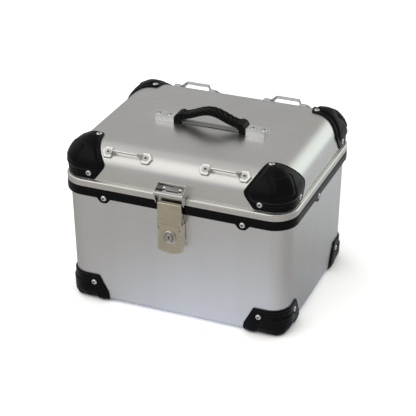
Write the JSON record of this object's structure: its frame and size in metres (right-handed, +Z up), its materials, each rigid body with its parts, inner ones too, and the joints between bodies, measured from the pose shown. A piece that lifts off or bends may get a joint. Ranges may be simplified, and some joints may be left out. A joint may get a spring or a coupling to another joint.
{
  "type": "motorcycle top case",
  "caption": "Hinged aluminium luggage box for a motorcycle rack, with black corner guards, a keyed draw latch, tie-down loops and a carrying handle.",
  "frame": {"origin": "centre of the case's footprint, on the plane its four feet stand on", "axes": "+X to the right seen from the latch side, +Y towards the hinges, +Z up"},
  "size_m": [0.4248, 0.3711, 0.3364],
  "materials": {
    "brushed_sheet": "brushed satin, grain along the case",
    "rim_aluminium": "rolled bead, satin to bright",
    "black_plastic": "moulded, fine grain, satin",
    "seal_rubber": "matt sponge rubber",
    "grip_rubber": "moulded plait pattern, matt",
    "cast_alloy": "die-cast, lightly polished",
    "latch_stainless": "warm brushed stainless",
    "bright_chrome": "polished",
    "lock_metal": "turned face",
    "zinc_steel": "bright zinc plate"
  },
  "bodies": {
    "base": {"base_shell": "brushed_sheet", "base_band": "black_plastic", "band_screw_fl": "zinc_steel", "band_screw_fr": "zinc_steel", "band_screw_rl": "zinc_steel", "band_screw_rr": "zinc_steel", "band_screw_l": "zinc_steel", "band_screw_r": "zinc_steel", "base_guard_fl": "black_plastic", "base_guard_fr": "black_plastic", "base_guard_rl": "black_plastic", "base_guard_rr": "black_plastic", "hinge_leaf_base_l": "zinc_steel", "hinge_leaf_base_r": "zinc_steel", "hinge_pin_l": "zinc_steel", "hinge_pin_r": "zinc_steel", "latch_base": "zinc_steel", "latch_pivot_l": "bright_chrome", "latch_pivot_r": "bright_chrome"},
    "lid": {"lid_shell": "brushed_sheet", "lid_rim": "rim_aluminium", "lid_seal": "seal_rubber", "lid_guard_fl": "black_plastic", "lid_guard_fr": "black_plastic", "lid_guard_rl": "black_plastic", "lid_guard_rr": "black_plastic", "tie_down_fl": "cast_alloy", "tie_down_fr": "cast_alloy", "tie_down_rl": "cast_alloy", "tie_down_rr": "cast_alloy", "tie_screw_fl1": "zinc_steel", "tie_screw_fl2": "zinc_steel", "tie_screw_fr1": "zinc_steel", "tie_screw_fr2": "zinc_steel", "tie_screw_rl1": "zinc_steel", "tie_screw_rl2": "zinc_steel", "tie_screw_rr1": "zinc_steel", "tie_screw_rr2": "zinc_steel", "handle_grip": "grip_rubber", "handle_core": "zinc_steel", "handle_end_l": "cast_alloy", "handle_end_r": "cast_alloy", "handle_screw_l1": "zinc_steel", "handle_screw_l2": "zinc_steel", "handle_screw_r1": "zinc_steel", "handle_screw_r2": "zinc_steel", "latch_catch": "bright_chrome", "catch_screw_l": "zinc_steel", "catch_screw_r": "zinc_steel", "hinge_leaf_lid_l": "zinc_steel", "hinge_leaf_lid_r": "zinc_steel"},
    "latch_lever": {"latch_lever": "latch_stainless", "lock_barrel": "bright_chrome", "lock_nut": "zinc_steel", "link_pin": "bright_chrome"},
    "latch_link": {"latch_link": "latch_stainless"},
    "lock_core": {"lock_plug": "lock_metal", "lock_cam": "zinc_steel", "cam_screw": "zinc_steel"}
  },
  "joints": [
    {"name": "lid_hinge", "type": "hinge", "parent": "base", "child": "lid", "pos_m": [0, 0.1796, 0.2272], "axis": [-1, 0, 0], "range_deg": [0, 100]},
    {"name": "lever_pivot", "type": "hinge", "parent": "base", "child": "latch_lever", "pos_m": [0, -0.175, 0.1922], "axis": [-1, 0, 0], "range_deg": [0, 85]},
    {"name": "link_pivot", "type": "hinge", "parent": "latch_lever", "child": "latch_link", "pos_m": [0, -0.1775, 0.1857], "axis": [-1, 0, 0], "range_deg": [-102, 0]},
    {"name": "key_turn", "type": "hinge", "parent": "latch_lever", "child": "lock_core", "pos_m": [0, -0.181, 0.1682], "axis": [0, 1, 0], "range_deg": [0, 90]}
  ],
  "couplings": [
    {"joint": "link_pivot", "follows": "lever_pivot", "ratio": -1.2}
  ]
}
